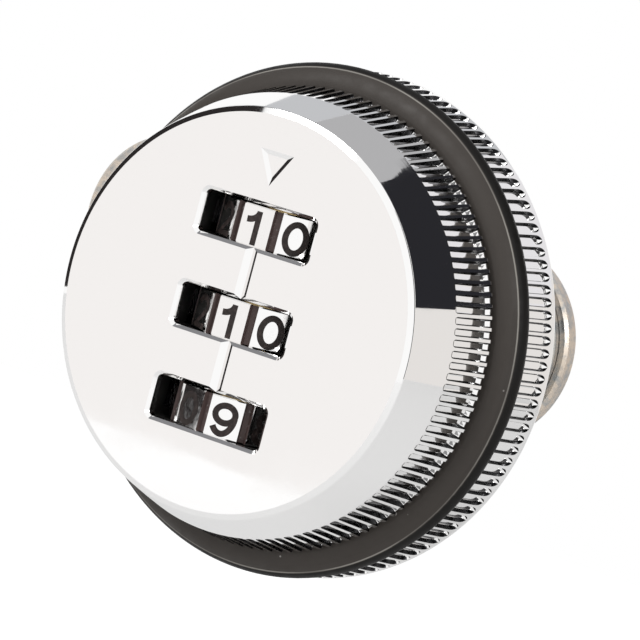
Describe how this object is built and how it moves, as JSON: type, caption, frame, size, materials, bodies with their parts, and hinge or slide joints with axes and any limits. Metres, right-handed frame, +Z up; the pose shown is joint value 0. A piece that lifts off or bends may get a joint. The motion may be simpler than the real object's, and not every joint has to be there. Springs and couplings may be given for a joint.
{
  "type": "combination locker lock",
  "caption": "Round knob locker lock for a door: number dials in the face, ribbed chrome rims with a rubber band between, threaded barrel, nut and a flat cam.",
  "frame": {"origin": "centre of the panel seat: the rear face of the ribbed flange, on the lock's axis", "axes": "+Y along the barrel, out of the panel seat towards the inside of the door; the face looks along -Y; +Z up, with the arrow at the top; +X to the right seen from the front; the cam points to -X at rest"},
  "size_m": [0.0705, 0.0504, 0.046],
  "materials": {
    "chrome_plate": "bright chrome plate on a die casting",
    "dial_plate": "bright plate with black filled numbers and grooves",
    "zinc_plate": "pale zinc plate on steel, slightly mottled",
    "bright_zinc": "bluish bright zinc plate, satin",
    "dark_casting": "black finished casting",
    "brass": "turned brass",
    "spring_steel": "rolled spring steel",
    "plain_steel": "bright steel",
    "black_rubber": "moulded black rubber, satin, a little dusty"
  },
  "bodies": {
    "housing": {"rear_flange": "chrome_plate", "rubber_ring": "black_rubber", "guide_plate": "plain_steel", "guide_plate_screws": "zinc_plate", "barrel": "bright_zinc", "panel_washer": "zinc_plate", "panel_nut": "bright_zinc", "thrust_washer": "plain_steel"},
    "knob": {"knob_shell": "chrome_plate", "dial_carrier": "dark_casting", "dial_axle": "plain_steel", "detent_spring": "spring_steel", "knob_screws": "zinc_plate", "drive_spindle": "plain_steel", "hub_pin": "plain_steel", "cam_plate": "zinc_plate", "rear_washer": "zinc_plate", "rear_screw": "zinc_plate"},
    "slide": {"locking_slide": "brass", "slide_pin": "plain_steel"},
    "dial_top": {"dial_top": "dial_plate", "code_sleeve_top": "brass"},
    "dial_middle": {"dial_middle": "dial_plate", "code_sleeve_middle": "brass"},
    "dial_bottom": {"dial_bottom": "dial_plate", "code_sleeve_bottom": "brass"}
  },
  "joints": [
    {"name": "knob_turn", "type": "hinge", "parent": "housing", "child": "knob", "pos_m": [0, 0, 0], "axis": [0, 1, 0], "range_deg": [0, 90]},
    {"name": "slide_travel", "type": "slide", "parent": "knob", "child": "slide", "axis": [0, 0, 1], "range_m": [0, 0.00281]},
    {"name": "dial_top_turn", "type": "hinge", "parent": "knob", "child": "dial_top", "pos_m": [-0.0005, -0.01035, 0.0077], "axis": [0, 0, 1], "continuous": true},
    {"name": "dial_middle_turn", "type": "hinge", "parent": "knob", "child": "dial_middle", "pos_m": [-0.0005, -0.01035, -0.0007], "axis": [0, 0, 1], "continuous": true},
    {"name": "dial_bottom_turn", "type": "hinge", "parent": "knob", "child": "dial_bottom", "pos_m": [-0.0005, -0.01035, -0.0091], "axis": [0, 0, 1], "continuous": true}
  ],
  "couplings": [
    {"joint": "slide_travel", "follows": "knob_turn", "m_per_rad": 0.0017825}
  ]
}
